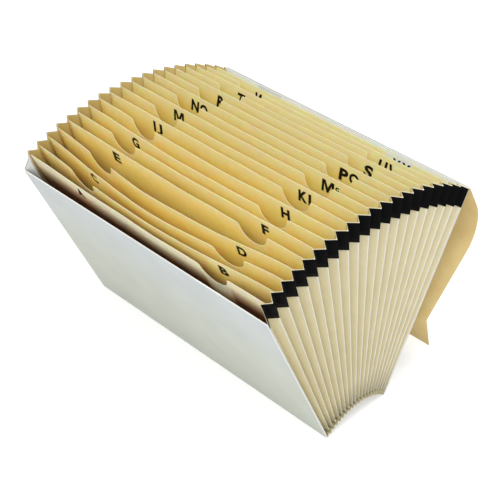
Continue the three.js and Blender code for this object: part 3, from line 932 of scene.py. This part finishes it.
# %% Roll the flap
SHOULDER_MM, PANEL_MM, LIP_MM = 36, 89, 45
SHOULDER_DEG, PANEL_DEG, LIP_DEG = 57, -17, 41
BEND_RADIUS_MM, BEND_STEPS = 52, 32
FLAP_CARD = 0.5 * MM
HINGE_RISE = 0.9 * MM
flap_path = [Vector((0.0, 0.0))]


def go_on(length_mm, degrees):
    angle = math.radians(degrees)
    step = length_mm * MM * Vector((math.cos(angle), math.sin(angle)))
    flap_path.append(flap_path[-1] + step)


go_on(HINGE_STRIP_MM, SHOULDER_DEG)
go_on(STRIP_FADE_MM, SHOULDER_DEG)
go_on(SHOULDER_MM - HINGE_STRIP_MM - STRIP_FADE_MM, SHOULDER_DEG)
bend = (SHOULDER_DEG - PANEL_DEG) / BEND_STEPS
for step in range(BEND_STEPS):
    chord = 2 * BEND_RADIUS_MM * math.sin(math.radians(bend) / 2)
    go_on(chord, SHOULDER_DEG - bend * (step + 0.5))
go_on(PANEL_MM, PANEL_DEG)
go_on(LIP_MM, LIP_DEG)
hinge = PLEAT_HEIGHT + HINGE_RISE
flap_line = [fan_point(LAST_FOLD, hinge - down, -HALF_WIDTH, BOARD + back) for down, back in flap_path]
flap = new_piece("card_flap", flap_line, edges=pairwise(range(len(flap_line))))
steps = [0.0] + [(b - a).length for a, b in pairwise(flap_line)]
layer = flap.data.attributes.new("from_hinge", "FLOAT", "POINT")
layer.data.foreach_set("value", np.cumsum(steps).astype(np.float32))
values = {"Width": 2 * HALF_WIDTH, "Thickness": FLAP_CARD, "Material": flap_card}
shape_with(flap, bent_card, values)
finish_mesh(flap, "flap", "flap")

# %% [markdown]
# The pleated bottom that closes the pockets is hidden by the cards, so its plain solid
# stays in view and only gets its paper.

# %% Paper on the bottom
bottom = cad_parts["bottom_bellows"]
bottom.data.materials.clear()
bottom.data.materials.append(bottom_paper)
print("coated:", bottom.name)

# %% [markdown]
# ## Floor, light and camera
#
# The file stands on a plain white sweep in soft light. The floor is lit like everything
# else, so it keeps the file's shadow, and what the camera sees of it is topped up to
# white by a little emission that only camera, gloss and see-through rays meet. The room
# around it is white to the same rays and a little dimmer to the rest, so the light on
# the file itself stays at a plain level.


# %% White floor and room
def seen_rays(tree):
    """1 for camera, gloss and see-through rays, and 0 for the rest."""
    rays = add(tree, "ShaderNodeLightPath").outputs
    seen = {0: rays["Is Camera Ray"], 1: rays["Is Glossy Ray"]}
    seen = add(tree, MATH, seen, operation="MAXIMUM")
    return add(tree, MATH, {0: seen, 1: rays["Is Transmission Ray"]}, operation="MAXIMUM")


WHITE = (1.0, 1.0, 1.0, 1.0)
FLOOR_REACH = 4
FLOOR_GLOW = 0.45
ROOM_LIGHT, ROOM_SEEN = 0.7, 1.0
corners = [(-FLOOR_REACH, -FLOOR_REACH, 0), (FLOOR_REACH, -FLOOR_REACH, 0)]
corners += [(FLOOR_REACH, FLOOR_REACH, 0), (-FLOOR_REACH, FLOOR_REACH, 0)]
floor = new_piece("floor", corners, faces=[(0, 1, 2, 3)])
sweep = bpy.data.materials.new("studio paper sweep, white")
sweep.use_nodes = True
tree = sweep.node_tree
tree.nodes.clear()
top_up = add(tree, MATH, {0: seen_rays(tree), 1: FLOOR_GLOW}, operation="MULTIPLY")
matt = add(tree, "ShaderNodeBsdfDiffuse", {0: srgb("#E8E8E8")})
glow = add(tree, "ShaderNodeEmission", {0: WHITE, 1: top_up})
both = add(tree, "ShaderNodeAddShader", {0: matt, 1: glow})
add(tree, "ShaderNodeOutputMaterial", {0: both})
floor.data.materials.append(sweep)

world = bpy.data.worlds.new("soft white room")
bpy.context.scene.world = world
world.use_nodes = True
tree = world.node_tree
tree.nodes.clear()
strength = {0: seen_rays(tree), 2: ROOM_LIGHT, 3: ROOM_SEEN}
strength = add(tree, MIX, strength, data_type="FLOAT")
room = add(tree, "ShaderNodeBackground", {0: WHITE, 1: strength})
add(tree, "ShaderNodeOutputWorld", {0: room})
print("floor and room:", sweep.name, "and", world.name)

# %% [markdown]
# Two large soft boxes do the rest: one overhead that lights the cards' tops, and a weaker
# one above the camera's left that fills the front cover and the gusset.

# %% Soft light
MIDDLE_OF_FILE = (0, 0, 0.15)


def softbox(name, place, size, watts):
    lamp = bpy.data.lights.new(name, "AREA")
    lamp.size = size
    lamp.energy = watts
    holder = bpy.data.objects.new(name, lamp)
    holder.location = place
    holder.rotation_mode = "QUATERNION"
    aim = Vector(MIDDLE_OF_FILE) - Vector(place)
    holder.rotation_quaternion = aim.to_track_quat("-Z", "Y")
    bpy.context.scene.collection.objects.link(holder)


softbox("overhead softbox", (0.25, 0.4, 1.9), size=1.2, watts=14.5)
softbox("front softbox", (0.7, -1.2, 1.6), size=1.0, watts=8)
print("lamps:", len(bpy.data.lights))

# %% [markdown]
# The camera was fitted to the photo by least squares on points of the fan that can be
# told apart in it. It looks from the front right and above with a long lens, so the
# pleats hardly shrink towards the rear.

# %% Camera
AZIMUTH_DEG, ELEVATION_DEG, ROLL_DEG = 45.181, 37.398, 0.432
CAMERA_PLACE = (0.849649, -0.847063, 1.0355)
FOCAL_PX, IMAGE_PX = 1303.016, 500
SENSOR_MM = 36
scene = bpy.context.scene
scene.view_settings.view_transform = "Standard"
camera = bpy.data.objects.new("camera", bpy.data.cameras.new("camera"))
scene.collection.objects.link(camera)
scene.camera = camera
azimuth, elevation = math.radians(AZIMUTH_DEG), math.radians(ELEVATION_DEG)
ahead = math.cos(elevation)
look = Vector((-math.sin(azimuth) * ahead, math.cos(azimuth) * ahead, -math.sin(elevation)))
roll = Quaternion((0, 0, 1), -math.radians(ROLL_DEG))
camera.location = CAMERA_PLACE
camera.rotation_mode = "QUATERNION"
camera.rotation_quaternion = look.to_track_quat("-Z", "Y") @ roll
camera.data.sensor_width = SENSOR_MM
camera.data.lens = FOCAL_PX * SENSOR_MM / IMAGE_PX
camera.data.clip_start = 0.05
print("camera:", [round(v, 3) for v in camera.location], "lens", round(camera.data.lens, 1), "mm")
